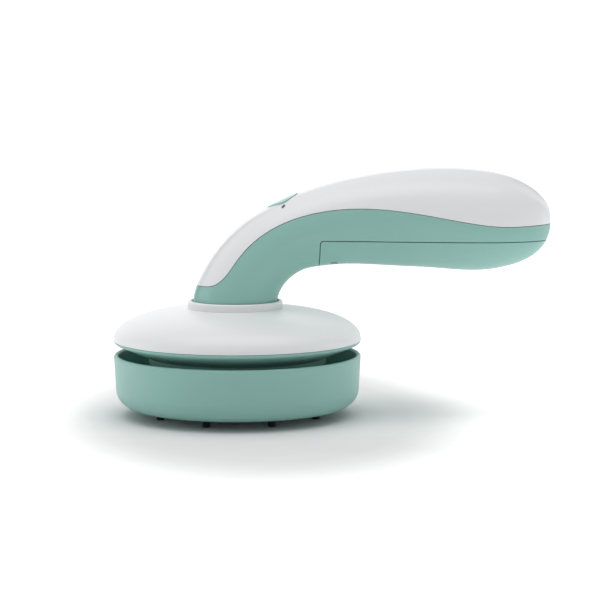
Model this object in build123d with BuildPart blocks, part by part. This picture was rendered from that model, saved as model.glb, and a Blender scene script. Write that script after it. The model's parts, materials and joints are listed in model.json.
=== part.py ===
from build123d import *
from math import asin, cos, pi, radians, sin, sqrt
import os

# Battery fabric shaver, standing on its head, with the handle arching back along +X.
# Millimetres, +Z up. The origin is on the head's axis, in the plane its glide studs stand on.

CAN_R = 12.0                  # the motor can stands upright on the head's axis
CAN_Z = (19.7, 49.0)

# ---- Head: dome, chassis, cup ----------------------------------------------------------------
HEAD_R = 46.0                 # widest radius of the dome and of the cup's rim
DOME_BASE_Z = 28.4            # the joint between the dome and the chassis
DOME_RISE = 12.2              # height of the full dome above that joint, without its collar
DOME_SIDE_POWER = 2.63        # the dome is a superellipse: these two set how full it is
DOME_TOP_POWER = 2.26
DOME_INNER_R = 12.0           # the dome's profile runs in to here, inside the collar
WALL = 2.0                    # thickness of the head's and the handle's shells

NECK_X = -0.8                 # the neck and its collar stand a little forward of the head's axis
NECK_R = 15.8
COLLAR_R = 17.6
COLLAR_BORE_R = NECK_R + 0.4
COLLAR_TOP_Z = 43.0
SOCKET_R = COLLAR_R + 2.0     # the thick ring under the dome that the neck passes through
SOCKET_TOP_Z = 38.6
BOSS_TOP_Z = 38.4             # the dome's screw bosses end inside its wall
PILOT_TOP_Z = 34.5
FLANGE_R = 18.4               # the neck's flange, held under the dome
FLANGE_Z = (34.0, 36.0)

CUP_BOTTOM_Z = 3.3            # the studs hold the cup this far off the table
CUP_RIM_Z = 22.95
CUP_FOOT_R = 45.0             # the cup's wall leans in to this radius just above its corner
CUP_CORNER_R = 7.0
CUP_WALL = 1.7
CUP_FLOOR_T = 2.0
FLOOR_HOLE_R = 28.6           # the opening in the cup's floor that takes the foil frame
FLOOR_RING_R = 30.2
FLOOR_RING_TOP_Z = 9.0

SKIRT_R = (31.0, 33.0)        # the chassis skirt that the cup pushes onto
SKIRT_BOTTOM_Z = 5.6
PLATE_Z = (22.0, 24.2)        # the flat middle of the chassis
LEDGE_R = (41.5, 43.1)        # the chassis ledge that centres the dome
LEDGE_Z = (27.6, 30.2)
BAND_GAP_Z = 0.12
TUBE_R = (CAN_R + 0.2, CAN_R + 2.2)
TUBE_FLOOR_Z = (CAN_Z[0] - 2.2, CAN_Z[0] - 0.1)
SUPPORT_R = 16.4              # inner radius of the ring that holds the neck's flange up
LINT_WINDOWS = 6
LINT_WINDOW_DEG = 34.0
LINT_WINDOW_Z = (9.5, 20.0)

STUD_COUNT = 8
STUD_CIRCLE_R = 31.0
STUD_R = 1.5
STUD_STEM_R = 0.8
STUD_START_DEG = 22.5

# ---- Foil, frame and blades ------------------------------------------------------------------
FRAME_R = (24.6, 28.3)
FRAME_Z = (2.9, 8.0)
FOIL_R = 26.0
FOIL_Z = (3.4, 3.7)
FOIL_HOLE_R = 0.8
FOIL_RINGS = 9
FOIL_RING_STEP = 2.5
LUG_COUNT = 3
LUG_DEG = 12.0
LUG_R = 29.6
LUG_Z = (5.8, 7.4)
FRAME_TWIST_DEG = 20.0        # how far the frame turns to come out
BLADE_COUNT = 3
BLADE_TIP_R = 23.4
BLADE_T = 0.5
BLADE_Z = 4.0
HUB_R = 5.0
HUB_Z = (5.6, 17.0)
PADDLE_COUNT = 6
PADDLE_R = 19.5
PADDLE_Z = (11.0, 15.0)
BLADE_SCREW_R = 0.6

# ---- Motor, upright on the head's axis -------------------------------------------------------
CAN_T = 0.8
SHAFT_R = 1.0
SHAFT_Z = (8.0, 50.4)
BUSH_R = 2.6
BUSH_H = 2.6
TOP_BUSH_Z = 47.4
RUNNING_GAP = 0.05
SEAL_R = 4.5
SEAL_Z = (CAN_Z[0] - 1.5, CAN_Z[0] - 0.2)
MOTOR_SCREW_Y = 8.0
MOTOR_SCREW_R = 0.8
MAGNET_R = (9.2, 11.1)
MAGNET_Z = (24.0, 42.0)
CORE_R = 8.8
CORE_Z = (26.0, 39.0)
CORE_STEM_W = 2.6
COMMUTATOR_R = 2.6
COMMUTATOR_Z = (42.6, 45.6)
END_CAP_Z = (46.2, 51.0)
BRUSH_HALF_W = 1.2
BRUSH_LOW_Z = 43.0
BRUSH_T = 0.3
TERMINAL_Y = 6.0
TERMINAL_TOP_Z = 54.5

# ---- Handle ----------------------------------------------------------------------------------
# Stations of the handle, from inside the collar to just short of the rear end. Each is a point on
# the top line (x, z), the point facing it on the underside (x, z), and half the handle's width.
STATIONS = [
    ((-16.4, 34.0), (15.0, 34.0), 15.7),
    ((-16.4, 39.0), (15.0, 39.0), 15.7),
    ((-16.2, 44.0), (15.1, 44.0), 15.6),
    ((-14.3, 50.3), (17.7, 49.2), 15.2),
    ((-10.7, 57.2), (20.4, 51.9), 14.9),
    ((-4.7, 65.3), (24.0, 54.1), 14.6),
    ((4.6, 73.4), (29.0, 55.4), 14.7),
    ((17.5, 80.4), (35.0, 56.1), 15.4),
    ((30.8, 85.3), (42.0, 56.4), 16.4),
    ((46.0, 89.0), (51.0, 56.1), 17.5),
    ((62.0, 91.3), (63.0, 55.4), 18.6),
    ((77.0, 92.0), (77.0, 54.5), 19.0),
    ((90.0, 91.2), (89.0, 53.9), 18.4),
    ((100.0, 89.2), (98.7, 55.0), 16.6),
    ((107.4, 85.9), (106.8, 57.6), 13.3),
    ((112.5, 81.9), (112.4, 61.4), 9.4),
    ((115.4, 77.9), (115.3, 65.7), 5.4),
]
HANDLE_TIP = (116.35, 71.8)
HOLLOW_STATIONS = 16          # the hollow follows the first stations and stops there, flat

# The joint between the white top cover and the lower shell, as seen from the side (x, z).
SEAM = [
    (-18.0, 49.2), (-13.4, 48.7), (-9.2, 49.3), (-5.6, 51.7), (-0.4, 58.5), (7.0, 66.35),
    (17.4, 72.55), (30.7, 76.5), (43.6, 77.75), (60.3, 76.7), (82.4, 72.9), (97.0, 71.0),
    (104.6, 70.95), (118.0, 71.2),
]
SEAM_GAP = 0.2

COVER_FRONT_X = 30.25         # the battery cover's front edge, and how far it leans
COVER_FRONT_LEAN = 0.1
COVER_TOP_Z = 65.9
COVER_SLOPE_DEG = 0.6         # its long edge drops this much towards the rear; it slides along it
COVER_CORNER_R = 1.1
COVER_GAP = 0.27
NOTCH_X = 35.7                # the two finger notches low on the cover's flanks
NOTCH_W = 2.2
NOTCH_DEPTH = 0.5
NOTCH_DEG = (14.0, 25.0)      # from straight down, round the underside
UNDERSIDE_R = 17.6            # how round the underside is there
UNDERSIDE_Z = 56.1
TONGUE_HALF_W = 3.0           # the snap tongue at the cover's front
TONGUE_X = (27.4, 34.0)
TONGUE_Z = (58.3, 59.3)
TONGUE_ROOT_X = 31.8

# Heights of the rails, the ribs and the tray's feet, measured from the cover's sloping top edge.
RAIL_Y = (8.6, 9.4)
RAIL_H = (-3.7, -0.6)
RAIL_LIP_Y = 7.5
RIB_X = (36.0, 95.0)
RIB_Y = (5.4, 6.3)
RIB_LIP_Y = 8.2
RIB_TOP_H = -1.5
FOOT_H = (-1.1, 1.6)
LIP_T = 0.8

# ---- Button and switch, square to the crest --------------------------------------------------
BUTTON_X, BUTTON_Z = 16.8, 80.15
BUTTON_SLOPE_DEG = 24.5
BUTTON_SIZE = (12.1, 10.8)
BUTTON_GAP = 0.25
BUTTON_PROUD = 0.35
BUTTON_LEDGE = 1.0            # the flange that keeps the cap from falling out
BOARD_DEPTH = 13.0            # from the crest down to the switch board
BOARD_SIZE = (26.0, 10.0, 1.2)
BOARD_SCREW_U = 11.0
SWITCH_SIZE = (7.0, 7.0, 4.0)
PLUNGER_R = 1.6
PLUNGER_LOW = -11.0
BUTTON_FLANGE = (3.9, 4.9)    # the button's flange, from the crest down
BUTTON_SPRING_R = 2.7
BUTTON_WIRE_R = 0.25
WIRE_GAP = 0.03
BOARD_SCREW_R = 0.8
MARK_CENTRE = (16.9, 78.2)    # the index mark beside the button, in side view
MARK_SIZE = (1.5, 0.65)
MARK_TILT_DEG = 42.0
MARK_FROM_MIDDLE = (5.6, 10.0)  # where its pocket starts and ends across the handle

# ---- Batteries and tray ----------------------------------------------------------------------
CELL_R = 7.25
CELL_LENGTH = 49.3            # without its nub
NUB_R = 2.75
NUB_LENGTH = 1.1
CELL_Y = 7.4
CELL_Z = 73.2
BAY_X = (42.5, 98.0)          # between the tray's two end walls
TRAY_WALL = 1.5
TRAY_HALF_W = 13.5
TRAY_Z = (66.1, 82.1)
PLATE_T = 0.4
SPRING_GAP = 0.05
SPRING_WIRE_R = 0.35
SPRING_R = 4.2
LUG_PLATE_Z = (66.9, 68.6)    # the lower shell's screw lugs
EAR_Z = (68.7, 70.2)          # the tray's ears, clamped on those lugs
FRONT_SCREW = (35.5, 8.3)
REAR_SCREW_X = 104.0
BOSS_R = 2.8
SCREW_R = 1.1
SCREW_HEAD_R = 2.2
SCREW_HEAD_H = 1.4
CHASSIS_SCREW_R = 25.0        # circle of the four screws that hold the dome to the chassis
LEAD_R = 0.6

os.makedirs("parts", exist_ok=True)


def save(part, name):
    """Label one finished piece and write it as its own file."""
    part.label = name
    export_step(part, f"parts/{name}.step")


def dome_profile(radius, rise, from_r):
    """Points of the dome's side, from its widest edge up to radius from_r."""
    steps = 18
    last = asin((from_r / radius) ** (DOME_SIDE_POWER / 2))
    angles = [pi / 2 + (last - pi / 2) * i / steps for i in range(steps + 1)]
    return [
        (
            radius * sin(a) ** (2 / DOME_SIDE_POWER),
            DOME_BASE_Z + rise * max(cos(a), 0.0) ** (2 / DOME_TOP_POWER),
        )
        for a in angles
    ]


def ring(inner_r, outer_r, z_low, z_high):
    """A plain ring about the head's axis."""
    with BuildPart() as body:
        with BuildSketch(Plane.XY.offset(z_low)):
            Circle(outer_r)
            Circle(inner_r, mode=Mode.SUBTRACT)
        extrude(amount=z_high - z_low)
    return body.part


def disc(radius, z_low, z_high, x=0.0, y=0.0):
    """A plain upright cylinder."""
    with BuildPart() as body:
        with BuildSketch(Plane.XY.offset(z_low)):
            with Locations((x, y)):
                Circle(radius)
        extrude(amount=z_high - z_low)
    return body.part


def pin(plane, radius, low, high, u=0.0, v=0.0):
    """A plain cylinder square to a plane, between two heights above it."""
    with BuildPart() as body:
        with BuildSketch(plane.offset(low)):
            with Locations((u, v)):
                Circle(radius)
        extrude(amount=high - low)
    return body.part


def oval_plug(plane, length, width, low, high):
    """An elliptical plug square to a plane, between two heights above it."""
    with BuildPart() as body:
        with BuildSketch(plane.offset(low)):
            Ellipse(length / 2, width / 2)
        extrude(amount=high - low)
    return body.part


def slab(plane, u_range, v_range, low, high):
    """A plain box laid out on a plane, between two heights above it."""
    with BuildPart() as body:
        with BuildSketch(plane.offset(low)):
            with Locations((sum(u_range) / 2, sum(v_range) / 2)):
                Rectangle(u_range[1] - u_range[0], v_range[1] - v_range[0])
        extrude(amount=high - low)
    return body.part


def block(x_range, y_range, z_range):
    """A plain box between the given limits."""
    middle = [(low + high) / 2 for low, high in (x_range, y_range, z_range)]
    size = [high - low for low, high in (x_range, y_range, z_range)]
    with BuildPart() as body:
        with Locations(tuple(middle)):
            Box(*size)
    return body.part


def radial_plane(degrees):
    """The upright plane through the head's axis, drawn on as (radius, height)."""
    turn = radians(degrees)
    return Plane(origin=(0, 0, 0), x_dir=(cos(turn), sin(turn), 0), z_dir=(sin(turn), -cos(turn), 0))


def sector(inner_r, outer_r, z_low, z_high, start_deg, span_deg):
    """A slice of a ring, from start_deg round through span_deg."""
    middle_r = (inner_r + outer_r) / 2
    with BuildPart() as body:
        with BuildSketch(radial_plane(start_deg)):
            with Locations((middle_r, (z_low + z_high) / 2)):
                Rectangle(outer_r - inner_r, z_high - z_low)
        revolve(axis=Axis.Z, revolution_arc=span_deg)
    return body.part


def station_plane(top, bottom):
    """The plane of one handle station, with its first direction from the underside to the top."""
    across = Vector(top[0] - bottom[0], 0, top[1] - bottom[1]).normalized()
    middle = ((top[0] + bottom[0]) / 2, 0, (top[1] + bottom[1]) / 2)
    return Plane(origin=middle, x_dir=across, z_dir=Vector(across.Z, 0, -across.X))


def oval_sketch(plane, half_height, half_width):
    """A closed oval on a plane, as two smooth curves that meet on the underside and on top."""
    steps = 8
    angles = [pi * i / steps for i in range(steps + 1)]
    with BuildSketch(plane) as sketch:
        with BuildLine():
            for side in (1, -1):
                points = [(-side * half_height * cos(a), side * half_width * sin(a)) for a in angles]
                Spline(*points, tangents=[(0, side), (0, -side)])
        make_face()
    return sketch.sketch


def handle_body(inset, count, tip):
    """The handle as one solid, its stations drawn in by inset; tip closes it to a point."""
    sections = []
    for top, bottom, half_width in STATIONS[:count]:
        half_height = sqrt((top[0] - bottom[0]) ** 2 + (top[1] - bottom[1]) ** 2) / 2
        plane = station_plane(top, bottom)
        sections.append(oval_sketch(plane, half_height - inset, half_width - inset))
    if tip:
        sections.append(Vertex(tip[0], 0, tip[1]))
    with BuildPart() as body:
        loft(sections=sections)
    return body.part


def side_region(points):
    """Everything above a side-view curve, far past the handle on both flanks."""
    far_z = 130.0
    with BuildPart() as body:
        with BuildSketch(Plane.XZ):
            with BuildLine():
                curve = Spline(*points)
                Polyline(curve @ 1, (points[-1][0], far_z), (points[0][0], far_z), curve @ 0)
            make_face()
        extrude(amount=40, both=True)
    return body.part


def cover_region(grow):
    """The side-view shape of the battery cover, grown by a gap on its two parting edges."""
    slope = sin(radians(COVER_SLOPE_DEG))
    front = COVER_FRONT_X - grow
    top = COVER_TOP_Z + grow
    rear_x = 125.0
    low_z = 45.0
    lean = COVER_FRONT_LEAN * (top - low_z) / 10
    with BuildPart() as body:
        with BuildSketch(Plane.XZ):
            with BuildLine():
                FilletPolyline(
                    (front - lean, low_z),
                    (front, top),
                    (rear_x, top - slope * (rear_x - front)),
                    (rear_x, low_z),
                    radius=COVER_CORNER_R + grow,
                    close=False,
                )
                Line((rear_x, low_z), (front - lean, low_z))
            make_face()
        extrude(amount=40, both=True)
    return body.part


def lead(points, radii):
    """An insulated lead: straight runs joined by arcs, round in section."""
    with BuildPart() as body:
        with BuildLine():
            route = FilletPolyline(*points, radius=radii)
        with BuildSketch(Plane(origin=route @ 0, z_dir=route % 0)):
            Circle(LEAD_R)
        sweep()
    return body.part


def coil(plane, radius, wire_r, turns, low, high):
    """A coil spring square to a plane, its wire ends kept between two heights above it."""
    rise = high - low - 2 * wire_r
    foot = plane.offset(low + wire_r)
    with BuildPart() as body:
        with BuildLine():
            path = Helix(
                pitch=rise / turns, height=rise, radius=radius,
                center=tuple(foot.origin), direction=tuple(foot.z_dir),
            )
        with BuildSketch(Plane(origin=path @ 0, z_dir=path % 0)):
            Circle(wire_r)
        sweep(path=path, is_frenet=True)
    return body.part


def pan_screw(plane, head_low, length, u, v, shank_r=SCREW_R, head_r=SCREW_HEAD_R):
    """A pan-head screw with a cross recess, its head down and its shank up, square to a plane."""
    with BuildPart() as body:
        add(pin(plane, head_r, head_low, head_low + SCREW_HEAD_H, u, v))
        add(pin(plane, shank_r, head_low + SCREW_HEAD_H, head_low + length, u, v))
        with BuildSketch(plane.offset(head_low)):
            with Locations((u, v)):
                Rectangle(1.3 * head_r, 0.25 * head_r)
                Rectangle(0.25 * head_r, 1.3 * head_r)
        extrude(amount=0.5 * SCREW_HEAD_H, mode=Mode.SUBTRACT)
    return body.part


# ==== Head dome ===============================================================================
with BuildPart() as head_dome:
    with BuildSketch(Plane.XZ):
        with BuildLine():
            outside = Spline(*dome_profile(HEAD_R, DOME_RISE, DOME_INNER_R))
            inside = Spline(*dome_profile(HEAD_R - WALL, DOME_RISE - WALL, DOME_INNER_R))
            Line(outside @ 0, inside @ 0)
            Line(outside @ 1, inside @ 1)
        make_face()
    revolve(axis=Axis.Z)
    add(disc(COLLAR_R, SOCKET_TOP_Z, COLLAR_TOP_Z, NECK_X))
    add(disc(SOCKET_R, FLANGE_Z[1] + 0.1, SOCKET_TOP_Z, NECK_X))
    collar_edge = head_dome.edges().filter_by(GeomType.CIRCLE).group_by(Axis.Z)[-1]
    fillet(collar_edge, radius=0.75)
    for corner in PolarLocations(CHASSIS_SCREW_R, 4, 45):
        spot = corner.position
        add(disc(BOSS_R, PLATE_Z[1] + 0.1, BOSS_TOP_Z, spot.X, spot.Y))
        add(disc(SCREW_R, PLATE_Z[1], PILOT_TOP_Z, spot.X, spot.Y), mode=Mode.SUBTRACT)
    add(disc(COLLAR_BORE_R, FLANGE_Z[1], COLLAR_TOP_Z + 1, NECK_X), mode=Mode.SUBTRACT)
    top_circles = head_dome.edges().filter_by(GeomType.CIRCLE).group_by(Axis.Z)[-1]
    fillet(top_circles.sort_by(SortBy.RADIUS)[0], radius=0.45)

save(head_dome.part, "head_dome")

# ==== Head chassis: the band under the dome, its plate, the motor tube and the skirt ===========
with BuildPart() as head_chassis:
    with BuildSketch(Plane.XZ):
        with BuildLine():
            band = Spline(
                (HEAD_R - 0.1, DOME_BASE_Z - BAND_GAP_Z),
                (HEAD_R - 0.25, 27.7),
                (HEAD_R - 0.9, 27.1),
                (HEAD_R - 2.2, 26.6),
            )
            Polyline(
                band @ 1,
                (SKIRT_R[1], PLATE_Z[0]),
                (TUBE_R[0], PLATE_Z[0]),
                (TUBE_R[0], PLATE_Z[1]),
                (SKIRT_R[1], PLATE_Z[1]),
                (LEDGE_R[0], LEDGE_Z[0]),
                (LEDGE_R[0], LEDGE_Z[1]),
                (LEDGE_R[1], LEDGE_Z[1]),
                (LEDGE_R[1] + 0.2, DOME_BASE_Z - BAND_GAP_Z),
                band @ 0,
            )
        make_face()
    revolve(axis=Axis.Z)
    add(ring(SKIRT_R[0], SKIRT_R[1], SKIRT_BOTTOM_Z, PLATE_Z[0] + 0.5))
    add(ring(TUBE_R[0], TUBE_R[1], TUBE_FLOOR_Z[0], FLANGE_Z[0] - 0.1))
    add(ring(SHAFT_R + 1.2, TUBE_R[1], *TUBE_FLOOR_Z))
    add(ring(SUPPORT_R, FLANGE_R, PLATE_Z[1] - 0.5, FLANGE_Z[0] - 0.1))
    for i in range(LINT_WINDOWS):
        start = i * 360 / LINT_WINDOWS - LINT_WINDOW_DEG / 2
        window = sector(
            SKIRT_R[0] - 1, SKIRT_R[1] + 1, LINT_WINDOW_Z[0], LINT_WINDOW_Z[1], start, LINT_WINDOW_DEG
        )
        add(window, mode=Mode.SUBTRACT)
    for corner in PolarLocations(CHASSIS_SCREW_R, 4, 45):
        spot = corner.position
        add(disc(SCREW_R + 0.2, PLATE_Z[0] - 1, PLATE_Z[1] + 1, spot.X, spot.Y), mode=Mode.SUBTRACT)
    for side in (-1, 1):
        hole = disc(MOTOR_SCREW_R + 0.1, CAN_Z[0] - 3, CAN_Z[0], 0, side * MOTOR_SCREW_Y)
        add(hole, mode=Mode.SUBTRACT)
    add(disc(SEAL_R + 0.1, SEAL_Z[0] - 0.1, CAN_Z[0]), mode=Mode.SUBTRACT)

save(head_chassis.part, "head_chassis")

# ==== Lint cup ================================================================================
LIP_R = CUP_WALL / 2
with BuildPart() as lint_cup:
    with BuildSketch(Plane.XZ) as cup_profile:
        with BuildLine():
            Polyline(
                (FLOOR_HOLE_R, CUP_BOTTOM_Z),
                (CUP_FOOT_R - 0.2, CUP_BOTTOM_Z),
                (HEAD_R - 0.05, CUP_RIM_Z),
                (HEAD_R - 0.05 - CUP_WALL, CUP_RIM_Z),
                (CUP_FOOT_R - CUP_WALL - 0.4, CUP_BOTTOM_Z + CUP_FLOOR_T),
                (FLOOR_RING_R, CUP_BOTTOM_Z + CUP_FLOOR_T),
                (FLOOR_RING_R, FLOOR_RING_TOP_Z),
                (FLOOR_HOLE_R, FLOOR_RING_TOP_Z),
                close=True,
            )
        make_face()
        low_outer = (CUP_FOOT_R, CUP_BOTTOM_Z)
        fillet(cup_profile.vertices().sort_by_distance(low_outer)[0], radius=CUP_CORNER_R)
        low_inner = (CUP_FOOT_R - CUP_WALL, CUP_BOTTOM_Z + CUP_FLOOR_T)
        inner_corner = cup_profile.vertices().sort_by_distance(low_inner)[0]
        fillet(inner_corner, radius=CUP_CORNER_R - CUP_WALL)
        rim = cup_profile.vertices().group_by(Axis.Y)[-1]
        fillet(rim, radius=LIP_R * 0.96)
    revolve(axis=Axis.Z)
    for i in range(LUG_COUNT):
        start = i * 360 / LUG_COUNT - LUG_DEG / 2 - 1.5
        travel = sector(
            FLOOR_HOLE_R - 1, LUG_R + 0.3, LUG_Z[0] - 0.2, LUG_Z[1] + 0.2,
            start, LUG_DEG + FRAME_TWIST_DEG + 3,
        )
        add(travel, mode=Mode.SUBTRACT)
        entry = sector(
            FLOOR_HOLE_R - 1, LUG_R + 0.3, CUP_BOTTOM_Z - 1, LUG_Z[1] + 0.2,
            start + FRAME_TWIST_DEG, LUG_DEG + 3,
        )
        add(entry, mode=Mode.SUBTRACT)
    for spot in PolarLocations(STUD_CIRCLE_R, STUD_COUNT, STUD_START_DEG):
        x, y = spot.position.X, spot.position.Y
        add(disc(STUD_STEM_R, CUP_BOTTOM_Z - 1, CUP_BOTTOM_Z + 1.5, x, y), mode=Mode.SUBTRACT)

save(lint_cup.part, "lint_cup")

# ==== Glide studs =============================================================================
with BuildPart() as glide_studs:
    with PolarLocations(STUD_CIRCLE_R, STUD_COUNT, STUD_START_DEG):
        Cylinder(STUD_R, CUP_BOTTOM_Z, align=(Align.CENTER, Align.CENTER, Align.MIN))
        with Locations((0, 0, CUP_BOTTOM_Z)):
            Cylinder(STUD_STEM_R, 1.4, align=(Align.CENTER, Align.CENTER, Align.MIN))
    chamfer(glide_studs.edges().filter_by(GeomType.CIRCLE).group_by(Axis.Z)[0], length=0.15)

save(glide_studs.part, "glide_studs")

# ==== Foil guard and its frame ================================================================
with BuildPart() as foil_guard:
    with BuildSketch(Plane.XY.offset(FOIL_Z[0])):
        Circle(FOIL_R)
        Circle(FOIL_HOLE_R, mode=Mode.SUBTRACT)
        for i in range(1, FOIL_RINGS + 1):
            ring_r = i * FOIL_RING_STEP
            with PolarLocations(ring_r, 6 * i, 180 / (6 * i) * (i % 2)):
                Circle(FOIL_HOLE_R, mode=Mode.SUBTRACT)
    extrude(amount=FOIL_Z[1] - FOIL_Z[0])

save(foil_guard.part, "foil_guard")

with BuildPart() as foil_frame:
    add(ring(FRAME_R[0], FRAME_R[1], FRAME_Z[0], FRAME_Z[1]))
    lower_edges = foil_frame.edges().filter_by(GeomType.CIRCLE).group_by(Axis.Z)[0]
    fillet(lower_edges, radius=0.35)
    add(disc(FOIL_R, *FOIL_Z), mode=Mode.SUBTRACT)
    for i in range(LUG_COUNT):
        add(sector(FRAME_R[1] - 1, LUG_R, *LUG_Z, i * 360 / LUG_COUNT - LUG_DEG / 2, LUG_DEG))

save(foil_frame.part, "foil_frame")

# ==== Blades, hub and their screw =============================================================
with BuildPart() as blades:
    for i in range(BLADE_COUNT):
        with BuildSketch(radial_plane(i * 360 / BLADE_COUNT)):
            with BuildLine():
                Polyline(
                    (3.0, HUB_Z[0]),
                    (HUB_R + 0.6, HUB_Z[0]),
                    (HUB_R + 1.6, BLADE_Z),
                    (BLADE_TIP_R, BLADE_Z),
                    (BLADE_TIP_R - 0.8, BLADE_Z + 2.2),
                    (11.0, BLADE_Z + 5.6),
                    (3.0, BLADE_Z + 5.6),
                    close=True,
                )
            make_face()
        extrude(amount=BLADE_T / 2, both=True)

save(blades.part, "blades")

with BuildPart() as blade_hub:
    add(disc(HUB_R, *HUB_Z))
    for i in range(PADDLE_COUNT):
        with BuildSketch(radial_plane(30 + i * 360 / PADDLE_COUNT)):
            with Locations(((HUB_R + PADDLE_R) / 2 - 1, sum(PADDLE_Z) / 2)):
                RectangleRounded(PADDLE_R - HUB_R + 1, PADDLE_Z[1] - PADDLE_Z[0], 0.9)
        extrude(amount=0.5, both=True)
    add(ring(0.5, PADDLE_R - 3, PADDLE_Z[1] - 0.4, PADDLE_Z[1] + 0.6))
    add(disc(SHAFT_R, HUB_Z[0] + 1.6, HUB_Z[1] + 1), mode=Mode.SUBTRACT)
    add(disc(BLADE_SCREW_R, HUB_Z[0] - 1, HUB_Z[1]), mode=Mode.SUBTRACT)
    add(blades.part, mode=Mode.SUBTRACT)

save(blade_hub.part, "blade_hub")

with BuildPart() as blade_screw:
    add(pan_screw(Plane.XY, HUB_Z[0] - SCREW_HEAD_H, 5.6, 0, 0, BLADE_SCREW_R, 2.0))

save(blade_screw.part, "blade_screw")

# ==== Motor ===================================================================================
with BuildPart() as motor_can:
    add(disc(CAN_R, *CAN_Z))
    add(disc(CAN_R - CAN_T, CAN_Z[0] + CAN_T, CAN_Z[1] + 1), mode=Mode.SUBTRACT)
    add(disc(BUSH_R, CAN_Z[0] - 1, CAN_Z[0] + 1), mode=Mode.SUBTRACT)
    for side in (-1, 1):
        hole = disc(MOTOR_SCREW_R, CAN_Z[0] - 1, CAN_Z[0] + 1, 0, side * MOTOR_SCREW_Y)
        add(hole, mode=Mode.SUBTRACT)
    low_circles = motor_can.edges().filter_by(GeomType.CIRCLE).group_by(Axis.Z)[0]
    fillet(low_circles.sort_by(SortBy.RADIUS)[-1], radius=0.7)

save(motor_can.part, "motor_can")

with BuildPart() as motor_bushes:
    for low in (CAN_Z[0], TOP_BUSH_Z):
        add(ring(SHAFT_R + RUNNING_GAP, BUSH_R, low, low + BUSH_H))

save(motor_bushes.part, "motor_bushes")

with BuildPart() as motor_shaft:
    add(disc(SHAFT_R, *SHAFT_Z))
    chamfer(motor_shaft.edges().group_by(Axis.Z)[-1], length=0.2)
    add(disc(BLADE_SCREW_R, SHAFT_Z[0] - 1, SHAFT_Z[0] + 3), mode=Mode.SUBTRACT)

save(motor_shaft.part, "motor_shaft")

with BuildPart() as motor_magnets:
    for start in (-70, 110):
        add(sector(*MAGNET_R, *MAGNET_Z, start, 140))

save(motor_magnets.part, "motor_magnets")

with BuildPart() as armature_core:
    add(disc(3.0, *CORE_Z))
    for i in range(3):
        with BuildSketch(Plane.XY.offset(CORE_Z[0]).rotated((0, 0, 120 * i))):
            with Locations((4.5, 0)):
                Rectangle(7.5, CORE_STEM_W)
        extrude(amount=CORE_Z[1] - CORE_Z[0])
        add(sector(CORE_R - 1.4, CORE_R, *CORE_Z, 120 * i - 50, 100))
    add(disc(SHAFT_R, CORE_Z[0] - 1, CORE_Z[1] + 1), mode=Mode.SUBTRACT)

save(armature_core.part, "armature_core")

with BuildPart() as armature_windings:
    for i in range(3):
        turn = radians(120 * i)
        outward = Vector(cos(turn), sin(turn), 0)
        with BuildSketch(Plane(origin=outward * 3.6, x_dir=(-sin(turn), cos(turn), 0), z_dir=outward)):
            with Locations((0, sum(CORE_Z) / 2)):
                RectangleRounded(CORE_STEM_W + 3.0, CORE_Z[1] - CORE_Z[0] + 3.0, 1.2)
                Rectangle(CORE_STEM_W, CORE_Z[1] - CORE_Z[0], mode=Mode.SUBTRACT)
        extrude(amount=3.0)

save(armature_windings.part, "armature_windings")

with BuildPart() as commutator:
    add(ring(SHAFT_R, COMMUTATOR_R, *COMMUTATOR_Z))
    for i in range(3):
        slot = sector(COMMUTATOR_R - 0.5, COMMUTATOR_R + 1, 40, 47, 120 * i - 4, 8)
        add(slot, mode=Mode.SUBTRACT)

save(commutator.part, "commutator")

BRUSH_Y = COMMUTATOR_R + RUNNING_GAP
BRUSH_X = (-BRUSH_HALF_W, BRUSH_HALF_W)
BRUSH_TURN_Z = END_CAP_Z[0] - BRUSH_T
with BuildPart() as motor_brushes:
    for side in (-1, 1):
        wiper = sorted((side * BRUSH_Y, side * (BRUSH_Y + BRUSH_T)))
        reach = sorted((side * BRUSH_Y, side * (TERMINAL_Y + 0.2)))
        terminal = sorted((side * (TERMINAL_Y - 0.2), side * (TERMINAL_Y + 0.2)))
        add(block(BRUSH_X, wiper, (BRUSH_LOW_Z, END_CAP_Z[0])))
        add(block(BRUSH_X, reach, (BRUSH_TURN_Z, END_CAP_Z[0])))
        add(block(BRUSH_X, terminal, (BRUSH_TURN_Z, TERMINAL_TOP_Z)))

save(motor_brushes.part, "motor_brushes")

with BuildPart() as motor_end_cap:
    add(disc(CAN_R - CAN_T, END_CAP_Z[0], CAN_Z[1]))
    add(disc(4.4, CAN_Z[1] - 1, END_CAP_Z[1]))
    add(disc(SHAFT_R + 0.4, END_CAP_Z[0] - 1, END_CAP_Z[1] - 0.4), mode=Mode.SUBTRACT)
    add(disc(BUSH_R, TOP_BUSH_Z, TOP_BUSH_Z + BUSH_H), mode=Mode.SUBTRACT)
    add(motor_brushes.part, mode=Mode.SUBTRACT)

save(motor_end_cap.part, "motor_end_cap")

with BuildPart() as dust_seal:
    add(ring(SHAFT_R + 0.08, SEAL_R, *SEAL_Z))

save(dust_seal.part, "dust_seal")

with BuildPart() as motor_screws:
    for side in (-1, 1):
        head_low = TUBE_FLOOR_Z[0] - SCREW_HEAD_H
        add(pan_screw(Plane.XY, head_low, 4.2, 0, side * MOTOR_SCREW_Y, MOTOR_SCREW_R, 1.6))

save(motor_screws.part, "motor_screws")

with BuildPart() as chassis_screws:
    for corner in PolarLocations(CHASSIS_SCREW_R, 4, 45):
        spot = corner.position
        add(pan_screw(Plane.XY, PLATE_Z[0] - SCREW_HEAD_H, 12.5, spot.X, spot.Y))

save(chassis_screws.part, "chassis_screws")

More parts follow.
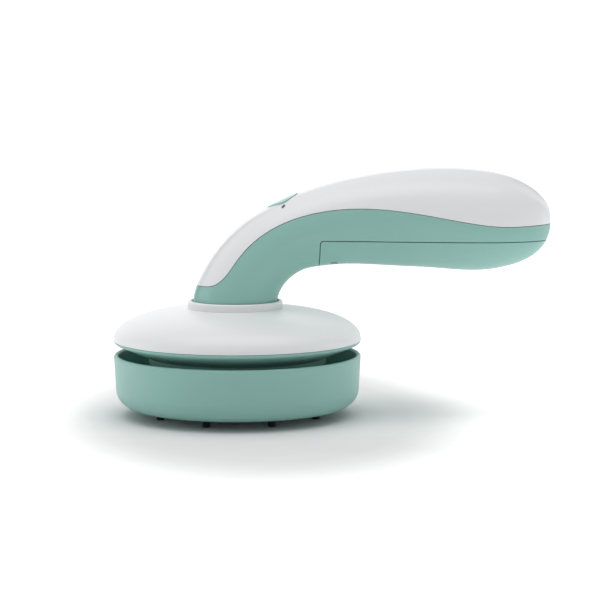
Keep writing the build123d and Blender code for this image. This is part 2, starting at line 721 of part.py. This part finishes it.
# ==== Handle: shared bodies ===================================================================
handle_outside = handle_body(0, len(STATIONS), HANDLE_TIP)
handle_hollow = handle_body(WALL, HOLLOW_STATIONS, None)
handle_room = handle_body(WALL + 0.25, HOLLOW_STATIONS, None)
above_seam = side_region(SEAM)
above_gap = side_region([(x - 0.4 * SEAM_GAP, z + 0.9 * SEAM_GAP) for x, z in SEAM])
slope = radians(BUTTON_SLOPE_DEG)
button_plane = Plane(
    origin=(BUTTON_X, 0, BUTTON_Z),
    x_dir=(cos(slope), 0, sin(slope)),
    z_dir=(-sin(slope), 0, cos(slope)),
)
drop = radians(COVER_SLOPE_DEG)
slide_plane = Plane(
    origin=(COVER_FRONT_X, 0, COVER_TOP_Z),
    x_dir=(cos(drop), 0, -sin(drop)),
    z_dir=(sin(drop), 0, cos(drop)),
)
BOSSES = [(FRONT_SCREW[0], FRONT_SCREW[1]), (FRONT_SCREW[0], -FRONT_SCREW[1]), (REAR_SCREW_X, 0.0)]

with BuildPart() as mark_pocket:
    with BuildSketch(Plane.XZ.offset(MARK_FROM_MIDDLE[0])):
        with Locations(MARK_CENTRE):
            Rectangle(*MARK_SIZE, rotation=MARK_TILT_DEG)
    extrude(amount=MARK_FROM_MIDDLE[1] - MARK_FROM_MIDDLE[0])

# ==== Handle top cover ========================================================================
with BuildPart() as top_inside:
    for x, y in BOSSES:
        add(disc(BOSS_R, EAR_Z[1] + 0.1, 95, x, y))
    for u in (-BOARD_SCREW_U, BOARD_SCREW_U):
        add(pin(button_plane, 1.9, -BOARD_DEPTH, 3, u, 0))
    add(handle_outside, mode=Mode.INTERSECT)

with BuildPart() as handle_top_cover:
    add(handle_outside)
    add(above_gap, mode=Mode.INTERSECT)
    add(handle_hollow, mode=Mode.SUBTRACT)
    add(top_inside.part)
    for x, y in BOSSES:
        add(disc(SCREW_R, EAR_Z[1], 77.5, x, y), mode=Mode.SUBTRACT)
    for u in (-BOARD_SCREW_U, BOARD_SCREW_U):
        pilot = pin(button_plane, BOARD_SCREW_R, -BOARD_DEPTH - 1, -BOARD_DEPTH + 6, u, 0)
        add(pilot, mode=Mode.SUBTRACT)
    window = oval_plug(
        button_plane, BUTTON_SIZE[0] + 2 * BUTTON_GAP, BUTTON_SIZE[1] + 2 * BUTTON_GAP, -6, 4
    )
    add(window, mode=Mode.SUBTRACT)
    add(mark_pocket.part, mode=Mode.SUBTRACT)

save(handle_top_cover.part, "handle_top_cover")

with BuildPart() as index_mark:
    add(mark_pocket.part)
    add(handle_outside, mode=Mode.INTERSECT)

save(index_mark.part, "index_mark")

# ==== Handle lower shell ======================================================================
with BuildPart() as lower_lugs:
    for side in (-1, 1):
        y_low, y_high = sorted((side * 4.5, side * 19))
        add(block((31.6, 39.4), (y_low, y_high), LUG_PLATE_Z))
    add(block((99.9, 115.0), (-6, 6), LUG_PLATE_Z))
    add(handle_outside, mode=Mode.INTERSECT)
    for x, y in BOSSES:
        add(disc(SCREW_R + 0.2, LUG_PLATE_Z[0] - 1, LUG_PLATE_Z[1] + 1, x, y), mode=Mode.SUBTRACT)

with BuildPart() as neck_flange:
    add(disc(FLANGE_R, FLANGE_Z[0] + 0.2, FLANGE_Z[1], NECK_X))
    add(disc(NECK_R - WALL / 2, *FLANGE_Z, NECK_X), mode=Mode.SUBTRACT)

with BuildPart() as handle_lower_shell:
    add(handle_outside)
    add(handle_hollow, mode=Mode.SUBTRACT)
    add(above_seam, mode=Mode.SUBTRACT)
    add(cover_region(COVER_GAP), mode=Mode.SUBTRACT)
    add(neck_flange.part)
    add(lower_lugs.part)

save(handle_lower_shell.part, "handle_lower_shell")

# ==== Battery cover ===========================================================================
def along(x_range):
    """The distances down the cover's slope of two points given by their x."""
    return tuple((x - COVER_FRONT_X) / cos(drop) for x in x_range)


with BuildPart() as cover_ribs:
    for side in (-1, 1):
        rib = sorted((side * RIB_Y[0], side * RIB_Y[1]))
        lip = sorted((side * RIB_Y[1], side * RIB_LIP_Y))
        add(slab(slide_plane, along(RIB_X), rib, -16, RIB_TOP_H))
        add(slab(slide_plane, along(RIB_X), lip, RIB_TOP_H - LIP_T, RIB_TOP_H))
    across = (-TONGUE_HALF_W, TONGUE_HALF_W)
    add(block((TONGUE_ROOT_X, TONGUE_X[1]), across, (50, TONGUE_Z[1])))
    add(handle_outside, mode=Mode.INTERSECT)
    add(block(TONGUE_X, across, TONGUE_Z))

with BuildPart() as flank_notch:
    with BuildSketch(Plane.XZ):
        with Locations((NOTCH_X, UNDERSIDE_Z + NOTCH_DEPTH / 2 - 1)):
            Rectangle(NOTCH_W, NOTCH_DEPTH + 2)
    swing = Axis((NOTCH_X, 0, UNDERSIDE_Z + UNDERSIDE_R), (1, 0, 0))
    revolve(axis=swing, revolution_arc=NOTCH_DEG[1] - NOTCH_DEG[0])

with BuildPart() as notches:
    add(flank_notch.part.rotate(swing, NOTCH_DEG[0]))
    mirror(about=Plane.XZ)

with BuildPart() as battery_cover:
    add(handle_outside)
    add(cover_region(0), mode=Mode.INTERSECT)
    add(handle_hollow, mode=Mode.SUBTRACT)
    add(cover_ribs.part)
    add(notches.part, mode=Mode.SUBTRACT)

save(battery_cover.part, "battery_cover")

# ==== Power button, plunger, spring, switch and board =========================================
with BuildPart() as switch_plunger:
    add(pin(button_plane, PLUNGER_R, PLUNGER_LOW, -BUTTON_FLANGE[1] + 1.0))

save(switch_plunger.part, "switch_plunger")

with BuildPart() as raised_skin:
    add(handle_outside.moved(Location(button_plane.z_dir * BUTTON_PROUD)))

with BuildPart() as power_button:
    add(oval_plug(button_plane, *BUTTON_SIZE, -BUTTON_FLANGE[1], 4))
    add(raised_skin.part, mode=Mode.INTERSECT)
    flange_size = [size + 2 * BUTTON_LEDGE for size in BUTTON_SIZE]
    add(oval_plug(button_plane, *flange_size, -BUTTON_FLANGE[1], -BUTTON_FLANGE[0]))
    add(switch_plunger.part, mode=Mode.SUBTRACT)

save(power_button.part, "power_button")

SWITCH_TOP = -BOARD_DEPTH + SWITCH_SIZE[2]
with BuildPart() as switch_body:
    half_u, half_v = SWITCH_SIZE[0] / 2, SWITCH_SIZE[1] / 2
    add(slab(button_plane, (-half_u, half_u), (-half_v, half_v), -BOARD_DEPTH, SWITCH_TOP))
    chamfer(switch_body.edges().filter_by(Axis(button_plane.origin, button_plane.z_dir)), length=0.5)
    bore_low = -BOARD_DEPTH + 0.6
    add(pin(button_plane, PLUNGER_R + RUNNING_GAP, bore_low, SWITCH_TOP + 1), mode=Mode.SUBTRACT)

save(switch_body.part, "switch_body")

with BuildPart() as button_spring:
    spring_low, spring_high = SWITCH_TOP + WIRE_GAP, -BUTTON_FLANGE[1] - WIRE_GAP
    add(coil(button_plane, BUTTON_SPRING_R, BUTTON_WIRE_R, 4, spring_low, spring_high))

save(button_spring.part, "button_spring")

with BuildPart() as switch_board:
    half_u, half_v = BOARD_SIZE[0] / 2, BOARD_SIZE[1] / 2
    board_low = -BOARD_DEPTH - BOARD_SIZE[2]
    add(slab(button_plane, (-half_u, half_u), (-half_v, half_v), board_low, -BOARD_DEPTH))
    for u in (-BOARD_SCREW_U, BOARD_SCREW_U):
        add(pin(button_plane, 1.0, board_low - 1, -BOARD_DEPTH + 1, u, 0), mode=Mode.SUBTRACT)

save(switch_board.part, "switch_board")

with BuildPart() as board_screws:
    for u in (-BOARD_SCREW_U, BOARD_SCREW_U):
        head_low = board_low - SCREW_HEAD_H
        add(pan_screw(button_plane, head_low, 6.8, u, 0, BOARD_SCREW_R, 1.6))

save(board_screws.part, "board_screws")

# ==== Battery tray, cells and contacts ========================================================
TAB_Y = (3.4, 4.6)
TAB_Z = (76.9, 77.3)
PLATE_Z_SPAN = (68.7, 78.2)
with BuildPart() as contact_plates:
    for side in (-1, 1):
        across = sorted((side * 2.4, side * 12.2))
        tab = sorted((side * TAB_Y[0], side * TAB_Y[1]))
        add(block((BAY_X[0], BAY_X[0] + PLATE_T), across, PLATE_Z_SPAN))
        add(block((39.4, BAY_X[0] + PLATE_T), tab, TAB_Z))
    add(block((BAY_X[1] - PLATE_T, BAY_X[1]), (-12.2, 12.2), PLATE_Z_SPAN))

save(contact_plates.part, "contact_plates")

with BuildPart() as battery_tray:
    for low in (BAY_X[0] - TRAY_WALL, BAY_X[1]):
        add(block((low, low + TRAY_WALL), (-TRAY_HALF_W, TRAY_HALF_W), TRAY_Z))
    tray_x = (BAY_X[0] - TRAY_WALL, BAY_X[1] + TRAY_WALL)
    add(block(tray_x, (-7, 7), (CELL_Z + CELL_R + 0.25, TRAY_Z[1])))
    for side in (-1, 1):
        web = sorted((side * RAIL_Y[0], side * RAIL_Y[1]))
        lip = sorted((side * RAIL_LIP_Y, side * RAIL_Y[0]))
        ear = sorted((side * 5.3, side * 11.4))
        rail_u = along((tray_x[0] + 0.1, tray_x[1] - 0.1))
        add(slab(slide_plane, rail_u, web, *RAIL_H))
        add(slab(slide_plane, rail_u, lip, RAIL_H[0], RAIL_H[0] + LIP_T))
        add(block((31.9, tray_x[0] + 0.5), ear, EAR_Z))
    for low in (BAY_X[0] - TRAY_WALL, BAY_X[1]):
        foot_u = along((low + 0.2, low + TRAY_WALL - 0.2))
        add(slab(slide_plane, foot_u, (-RAIL_Y[1], RAIL_Y[1]), *FOOT_H))
    add(block((tray_x[1] - 0.5, 108.0), (-4, 4), EAR_Z))
    add(handle_room, mode=Mode.INTERSECT)
    for x, y in BOSSES:
        add(disc(SCREW_R + 0.2, EAR_Z[0] - 1, EAR_Z[1] + 1, x, y), mode=Mode.SUBTRACT)
    add(contact_plates.part, mode=Mode.SUBTRACT)

save(battery_tray.part, "battery_tray")


def cell(y, nub_at_rear):
    """One AA cell lying along X against the plate that its nub touches."""
    front = BAY_X[0] + PLATE_T
    rear = BAY_X[1] - PLATE_T
    start = rear - NUB_LENGTH - CELL_LENGTH if nub_at_rear else front + NUB_LENGTH
    nub_x = start + CELL_LENGTH if nub_at_rear else front
    lengthwise = Plane(origin=(0, y, CELL_Z), x_dir=(0, 1, 0), z_dir=(1, 0, 0))
    with BuildPart() as body:
        add(pin(lengthwise, CELL_R, start, start + CELL_LENGTH))
        fillet(body.edges().filter_by(GeomType.CIRCLE), radius=0.5)
        add(pin(lengthwise, NUB_R, nub_x, nub_x + NUB_LENGTH))
    return body.part


with BuildPart() as cell_left:
    add(cell(-CELL_Y, True))

save(cell_left.part, "cell_left")

with BuildPart() as cell_right:
    add(cell(CELL_Y, False))

save(cell_right.part, "cell_right")

SPRING_ROOM = BAY_X[1] - BAY_X[0] - 2 * PLATE_T - CELL_LENGTH - NUB_LENGTH
with BuildPart() as battery_springs:
    front = BAY_X[0] + PLATE_T
    rear = BAY_X[1] - PLATE_T
    for y, low in ((-CELL_Y, front), (CELL_Y, rear - SPRING_ROOM)):
        lengthwise = Plane(origin=(0, y, CELL_Z), x_dir=(0, 1, 0), z_dir=(1, 0, 0))
        add(coil(lengthwise, SPRING_R, SPRING_WIRE_R, 3, low + SPRING_GAP, low + SPRING_ROOM - SPRING_GAP))

save(battery_springs.part, "battery_springs")

with BuildPart() as handle_screws:
    for x, y in BOSSES:
        add(pan_screw(Plane.XY, LUG_PLATE_Z[0] - SCREW_HEAD_H, 11.5, x, y))

save(handle_screws.part, "handle_screws")

# ==== Leads ===================================================================================
LEAD_TOUCH = LEAD_R + 0.02
terminal_side = TERMINAL_Y + 0.2 + LEAD_TOUCH
tab_top = TAB_Z[1] + LEAD_TOUCH
board_under = button_plane.from_local_coords((-8.5, -3.4, board_low - LEAD_TOUCH))
with BuildPart() as lead_switch:
    add(
        lead(
            [
                (0, -terminal_side, 52.0),
                (0, -terminal_side, 57.5),
                (7.5, -5.2, 58.5),
                (board_under.X, board_under.Y, board_under.Z),
            ],
            [2.5, 2.5],
        )
    )

save(lead_switch.part, "lead_switch")

board_top = button_plane.from_local_coords((9.5, -3.9, -BOARD_DEPTH + LEAD_TOUCH))
with BuildPart() as lead_red:
    add(
        lead(
            [
                (41.0, -4.0, tab_top),
                (36.5, -4.0, tab_top),
                (board_top.X + 1.0, -3.9, board_top.Z + 3.0),
                (board_top.X, -3.9, board_top.Z),
            ],
            [2.5, 1.5],
        )
    )

save(lead_red.part, "lead_red")

with BuildPart() as lead_black:
    add(
        lead(
            [
                (41.0, 4.0, tab_top),
                (34.0, 4.0, tab_top),
                (25.0, 8.5, 71.5),
                (12.0, 8.5, 62.5),
                (0, terminal_side, 58.5),
                (0, terminal_side, 52.0),
            ],
            [4.0, 4.0, 6.0, 3.0],
        )
    )

save(lead_black.part, "lead_black")
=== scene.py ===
import json
import math

import bpy
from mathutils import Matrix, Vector

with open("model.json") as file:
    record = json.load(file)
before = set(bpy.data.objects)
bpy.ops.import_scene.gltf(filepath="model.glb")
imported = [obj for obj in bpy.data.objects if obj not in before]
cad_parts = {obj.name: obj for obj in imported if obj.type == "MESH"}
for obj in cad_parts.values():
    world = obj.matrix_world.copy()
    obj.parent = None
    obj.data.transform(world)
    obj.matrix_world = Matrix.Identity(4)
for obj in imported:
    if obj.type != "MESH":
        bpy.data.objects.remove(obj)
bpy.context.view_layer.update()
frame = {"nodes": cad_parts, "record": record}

# ---- Camera: a long lens at the front, a little above the table and a little towards the head ----
TARGET = Vector((0.0233, 0.0, 0.0428))
DISTANCE = 0.906
AZIMUTH_DEG = -2.5
ELEVATION_DEG = 6.5
SENSOR_MM = 36.0
PIXELS_ACROSS = 600
PIXELS_PER_METRE = 2689.0

CLIP_END = 20.0

# ---- Light ---------------------------------------------------------------------------------------
WORLD_STRENGTH = 0.36
LIGHTS = {                    # place, aim, width and height in metres, and watts
    "top_softbox": ((0.0, -0.1, 0.95), (0.03, 0, 0.03), (1.1, 0.8), 5.3),
    "front_softbox": ((-0.5, -0.9, 0.5), (0.03, 0, 0.04), (0.8, 0.8), 0.7),
    "left_strip": ((-0.7, 0.1, 0.12), (0, 0, 0.05), (0.3, 0.25), 0.45),
    "right_strip": ((0.75, 0.1, 0.1), (0, 0, 0.05), (0.3, 0.25), 0.45),
}

# ---- Paper sweep, in metres ----------------------------------------------------------------------
FLOOR_FRONT_Y = -0.7
BEND_Y = 1.2                  # where the floor starts to turn up into the wall
BEND_R = 0.6
BEND_STEPS = 24
HALF_WIDTH = 2.5
WALL_TOP_Z = 2.4

# The paper glows a little, more with distance, so it is white except round the object, where the
# missing glow paints a soft shadow over the one the lamps cast.
GLOW_CENTRE = (0.009, 0.0)    # centre of the painted shadow: it has no glow of its own round this point, under the head
GLOW_STRETCH = (1.0, 0.55, 1.0)
GLOW_RANGE = 2.0              # the distance from that centre that the whole ramp covers
GLOW_STOPS = ((0.053, 0.0), (0.092, 0.44), (0.50, 0.46), (0.90, 0.75))    # distance and glow


def make_camera():
    """The camera that takes the front view."""
    azimuth, elevation = math.radians(AZIMUTH_DEG), math.radians(ELEVATION_DEG)
    back = Vector(
        (
            math.sin(azimuth) * math.cos(elevation),
            -math.cos(azimuth) * math.cos(elevation),
            math.sin(elevation),
        )
    )
    data = bpy.data.cameras.new("camera")
    data.sensor_width = SENSOR_MM
    data.lens = SENSOR_MM * PIXELS_PER_METRE * DISTANCE / PIXELS_ACROSS
    data.clip_end = CLIP_END
    camera = bpy.data.objects.new("camera", data)
    camera.location = TARGET + back * DISTANCE
    camera.rotation_mode = "QUATERNION"
    camera.rotation_quaternion = (-back).to_track_quat("-Z", "Y")
    bpy.context.scene.collection.objects.link(camera)
    bpy.context.scene.camera = camera


# ---- Materials -----------------------------------------------------------------------------------
class Shader:
    """A new material, with small helpers to add and join its nodes."""

    def __init__(self, name):
        self.material = bpy.data.materials.new(name)
        self.material.use_nodes = True
        self.tree = self.material.node_tree
        self.surface = self.tree.nodes["Principled BSDF"]
        self.place = self.add("ShaderNodeTexCoord").outputs["Object"]

    def add(self, kind, **settings):
        node = self.tree.nodes.new(kind)
        for key, value in settings.items():
            setattr(node, key, value)
        return node

    def join(self, source, target):
        self.tree.links.new(source, target)

    def stretched(self, stretch):
        mapping = self.add("ShaderNodeMapping")
        mapping.inputs["Scale"].default_value = stretch
        self.join(self.place, mapping.inputs["Vector"])
        return mapping.outputs["Vector"]

    def noise(self, scale, stretch=(1, 1, 1), detail=3.0):
        node = self.add("ShaderNodeTexNoise")
        node.inputs["Scale"].default_value = scale
        node.inputs["Detail"].default_value = detail
        self.join(self.stretched(stretch), node.inputs["Vector"])
        return node.outputs["Fac"]

    def bands(self, direction, scale, profile="SIN"):
        node = self.add(
            "ShaderNodeTexWave", wave_type="BANDS", bands_direction=direction, wave_profile=profile
        )
        node.inputs["Scale"].default_value = scale
        node.inputs["Distortion"].default_value = 0.0
        self.join(self.place, node.inputs["Vector"])
        return node.outputs["Fac"]

    def cells(self, scale):
        node = self.add("ShaderNodeTexVoronoi")
        node.inputs["Scale"].default_value = scale
        self.join(self.place, node.inputs["Vector"])
        return node.outputs["Distance"]

    def tint(self, value, dark, light, low=0.3, high=0.7):
        """Spread a 0-1 value over two close shades and send it to the base colour."""
        ramp = self.add("ShaderNodeValToRGB")
        ramp.color_ramp.elements[0].position = low
        ramp.color_ramp.elements[0].color = (*dark, 1)
        ramp.color_ramp.elements[1].position = high
        ramp.color_ramp.elements[1].color = (*light, 1)
        self.join(value, ramp.inputs["Fac"])
        self.join(ramp.outputs["Color"], self.surface.inputs["Base Color"])

    def spread(self, value, target, low, high):
        """Spread a 0-1 value over a range of one of the surface's inputs."""
        node = self.add("ShaderNodeMapRange")
        node.inputs["To Min"].default_value = low
        node.inputs["To Max"].default_value = high
        self.join(value, node.inputs["Value"])
        self.join(node.outputs["Result"], self.surface.inputs[target])

    def relief(self, value, depth, strength=1.0, round_edge=0.0):
        """Raise the surface by a value, over edges rounded by round_edge (metres)."""
        bump = self.add("ShaderNodeBump")
        bump.inputs["Distance"].default_value = depth
        bump.inputs["Strength"].default_value = strength
        self.join(value, bump.inputs["Height"])
        if round_edge:
            bevel = self.add("ShaderNodeBevel", samples=4)
            bevel.inputs["Radius"].default_value = round_edge
            self.join(bevel.outputs["Normal"], bump.inputs["Normal"])
        self.join(bump.outputs["Normal"], self.surface.inputs["Normal"])


def shades(colour, change):
    """A darker and a lighter shade of one colour."""
    return [tuple(min(c * (1 + sign * change), 1.0) for c in colour) for sign in (-1, 1)]


def moulded(name, colour, roughness, change=0.015, grain=1800.0, depth=3e-6, round_edge=0.0):
    """Moulded plastic: faint flow shading, a fine spark-eroded grain, satin or gloss."""
    shader = Shader(name)
    shader.tint(shader.noise(28.0, (1, 1, 2)), *shades(colour, change))
    shader.spread(shader.noise(140.0), "Roughness", roughness - 0.04, roughness + 0.04)
    shader.relief(shader.noise(grain, detail=2.0), depth, round_edge=round_edge)
    shader.surface.inputs["IOR"].default_value = 1.49
    return shader.material


def metal(name, colour, roughness, stretch, grain=900.0, depth=2e-6):
    """Metal with drawn or turned lines, longest along the axis that is stretched least."""
    shader = Shader(name)
    lines = shader.noise(grain, stretch)
    shader.tint(lines, *shades(colour, 0.08))
    shader.spread(lines, "Roughness", roughness - 0.08, roughness + 0.1)
    shader.relief(lines, depth)
    shader.surface.inputs["Metallic"].default_value = 1.0
    return shader.material


def banded(name, colour, direction, scale, roughness, metallic, depth):
    """Stacked sheets or wound wire: fine even bands along one direction."""
    shader = Shader(name)
    bands = shader.bands(direction, scale)
    shader.tint(bands, *shades(colour, 0.3), low=0.05, high=0.6)
    shader.spread(shader.noise(300.0), "Roughness", roughness - 0.06, roughness + 0.06)
    shader.relief(bands, depth)
    shader.surface.inputs["Metallic"].default_value = metallic
    return shader.material


def porous(name, colour, scale, roughness, metallic, depth):
    """Sintered metal, ferrite, rubber or felt: small grains all over."""
    shader = Shader(name)
    grains = shader.cells(scale)
    shader.tint(grains, *shades(colour, 0.18), low=0.1, high=0.8)
    shader.spread(shader.noise(250.0), "Roughness", roughness - 0.06, roughness + 0.06)
    shader.relief(grains, depth)
    shader.surface.inputs["Metallic"].default_value = metallic
    return shader.material


def cell_jacket(name):
    """A battery's printed film: a dark body, a copper-coloured collar at each end, no text."""
    shader = Shader(name)
    shader.tint(shader.bands("X", 3.1), (0.03, 0.032, 0.035), (0.62, 0.30, 0.12), 0.86, 0.9)
    shader.spread(shader.noise(200.0), "Roughness", 0.22, 0.34)
    shader.relief(shader.noise(600.0), 4e-6)
    shader.surface.inputs["Metallic"].default_value = 0.35
    return shader.material


def circuit_board(name):
    """Solder mask over copper lands."""
    shader = Shader(name)
    lands = shader.cells(260.0)
    shader.tint(lands, (0.30, 0.22, 0.08), (0.015, 0.13, 0.05), 0.10, 0.16)
    shader.spread(shader.noise(200.0), "Roughness", 0.3, 0.42)
    shader.relief(lands, 2e-5)
    return shader.material


MINT = (0.262, 0.500, 0.450)
WHITE = (0.800, 0.808, 0.822)
STEEL = (0.60, 0.61, 0.62)

MATERIALS = {
    "mint_shell": moulded("mint_shell", MINT, 0.42, round_edge=2e-4),
    "mint_cover": moulded("mint_cover", MINT, 0.43, round_edge=2e-4),
    "mint_chassis": moulded("mint_chassis", MINT, 0.45, round_edge=2e-4),
    "mint_cup": moulded("mint_cup", MINT, 0.42, change=0.02, round_edge=2e-4),
    "mint_button": moulded("mint_button", (0.40, 0.66, 0.59), 0.30, round_edge=3e-4),
    "white_cover": moulded("white_cover", WHITE, 0.36, change=0.008, round_edge=2e-4),
    "white_dome": moulded("white_dome", WHITE, 0.38, change=0.008, round_edge=2e-4),
    "dark_mark": moulded("dark_mark", (0.10, 0.085, 0.09), 0.5, change=0.1),
    "stud_rubber": porous("stud_rubber", (0.002, 0.003, 0.0035), 2600.0, 0.7, 0.0, 8e-6),
    "foil_steel": metal("foil_steel", (0.68, 0.69, 0.70), 0.26, (1, 14, 1)),
    "frame_plastic": moulded("frame_plastic", (0.72, 0.73, 0.74), 0.4),
    "hub_plastic": moulded("hub_plastic", (0.66, 0.67, 0.66), 0.45),
    "blade_steel": metal("blade_steel", (0.70, 0.71, 0.72), 0.2, (1, 1, 16)),
    "screw_steel": metal("screw_steel", (0.52, 0.53, 0.54), 0.34, (6, 6, 1)),
    "can_steel": metal("can_steel", STEEL, 0.32, (9, 9, 1)),
    "magnet_ferrite": porous("magnet_ferrite", (0.045, 0.045, 0.048), 1500.0, 0.6, 0.1, 6e-6),
    "end_cap_plastic": moulded("end_cap_plastic", (0.62, 0.60, 0.54), 0.5),
    "bush_bronze": porous("bush_bronze", (0.50, 0.30, 0.13), 2400.0, 0.42, 1.0, 6e-6),
    "shaft_steel": metal("shaft_steel", (0.66, 0.67, 0.68), 0.18, (1, 1, 12)),
    "core_steel": banded("core_steel", (0.34, 0.34, 0.35), "Z", 300.0, 0.42, 1.0, 2e-5),
    "copper": banded("copper", (0.72, 0.32, 0.14), "Z", 500.0, 0.3, 1.0, 6e-5),
    "felt": porous("felt", (0.62, 0.57, 0.48), 3200.0, 0.92, 0.0, 6e-5),
    "tray_plastic": moulded("tray_plastic", (0.30, 0.52, 0.47), 0.5),
    "cell_jacket": cell_jacket("cell_jacket"),
    "spring_steel": metal("spring_steel", (0.58, 0.58, 0.57), 0.25, (3, 3, 3)),
    "contact_nickel": metal("contact_nickel", (0.66, 0.62, 0.54), 0.28, (1, 12, 1)),
    "board_green": circuit_board("board_green"),
    "switch_black": moulded("switch_black", (0.02, 0.02, 0.022), 0.45, change=0.1),
    "lead_red_pvc": moulded("lead_red_pvc", (0.50, 0.03, 0.025), 0.38, change=0.06),
    "lead_black_pvc": moulded("lead_black_pvc", (0.018, 0.018, 0.02), 0.38, change=0.1),
}


def dress_nodes():
    """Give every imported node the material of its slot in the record."""
    for entry in frame["record"]["subparts"]:
        node = frame["nodes"][entry["node"]]
        node.data.materials.clear()
        node.data.materials.append(MATERIALS[entry["material_slot"]])


# ---- Stage ---------------------------------------------------------------------------------------
def area_light(name, place, aim, size, watts):
    """A soft rectangular light that faces a point."""
    data = bpy.data.lights.new(name, "AREA")
    data.shape = "RECTANGLE"
    data.size, data.size_y = size
    data.energy = watts
    light = bpy.data.objects.new(name, data)
    light.location = place
    light.rotation_mode = "QUATERNION"
    light.rotation_quaternion = (Vector(aim) - Vector(place)).to_track_quat("-Z", "Y")
    bpy.context.scene.collection.objects.link(light)


def paper():
    """Matt white paper that glows with distance; it takes the object's soft cast shadow, and its
    missing glow round the object paints more shadow there.
    """
    shader = Shader("sweep_paper")
    shader.tint(shader.noise(60.0), (0.80, 0.80, 0.80), (0.82, 0.82, 0.82))
    centred = shader.add("ShaderNodeMapping", vector_type="POINT")
    centred.inputs["Location"].default_value = [
        -place * stretch for place, stretch in zip((*GLOW_CENTRE, 0.0), GLOW_STRETCH)
    ]
    centred.inputs["Scale"].default_value = GLOW_STRETCH
    shader.join(shader.place, centred.inputs["Vector"])
    distance = shader.add("ShaderNodeVectorMath", operation="LENGTH")
    shader.join(centred.outputs["Vector"], distance.inputs[0])
    reach = shader.add("ShaderNodeMapRange")
    reach.inputs["From Max"].default_value = GLOW_RANGE
    shader.join(distance.outputs["Value"], reach.inputs["Value"])
    # Painted shadow: the glow grows with distance, so the paper stays darker round the object than
    # the lamps alone would leave it.
    glow = shader.add("ShaderNodeValToRGB")
    glow.color_ramp.interpolation = "EASE"
    stops = glow.color_ramp.elements
    while len(stops) < len(GLOW_STOPS):
        stops.new(0.5)
    for stop, (metres, strength) in zip(stops, GLOW_STOPS):
        stop.position = metres / GLOW_RANGE
        stop.color = (strength, strength, strength, 1)
    shader.join(reach.outputs["Result"], glow.inputs["Fac"])
    shader.join(glow.outputs["Color"], shader.surface.inputs["Emission Strength"])
    shader.surface.inputs["Emission Color"].default_value = (1, 1, 1, 1)
    shader.surface.inputs["Roughness"].default_value = 0.9
    shader.surface.inputs["Specular IOR Level"].default_value = 0.1
    return shader.material


def make_sweep():
    """A white table that bends up into a white wall behind the object."""
    line = [(FLOOR_FRONT_Y, 0.0)]
    for i in range(BEND_STEPS + 1):
        turn = math.radians(90 * i / BEND_STEPS)
        line.append((BEND_Y + BEND_R * math.sin(turn), BEND_R * (1 - math.cos(turn))))
    line.append((BEND_Y + BEND_R, WALL_TOP_Z))
    verts = [(x, y, z) for y, z in line for x in (-HALF_WIDTH, HALF_WIDTH)]
    faces = [(2 * i, 2 * i + 1, 2 * i + 3, 2 * i + 2) for i in range(len(line) - 1)]
    mesh = bpy.data.meshes.new("sweep")
    mesh.from_pydata(verts, [], faces)
    mesh.polygons.foreach_set("use_smooth", [True] * len(faces))
    mesh.materials.append(paper())
    sweep = bpy.data.objects.new("sweep", mesh)
    bpy.context.scene.collection.objects.link(sweep)


def make_stage():
    """Even white surroundings, the softboxes and the paper sweep."""
    scene = bpy.context.scene
    scene.view_settings.view_transform = "Standard"
    world = bpy.data.worlds.new("studio")
    world.use_nodes = True
    background = world.node_tree.nodes["Background"]
    background.inputs["Color"].default_value = (1, 1, 1, 1)
    background.inputs["Strength"].default_value = WORLD_STRENGTH
    scene.world = world
    for name, settings in LIGHTS.items():
        area_light(name, *settings)
    make_sweep()


make_camera()
make_stage()
dress_nodes()
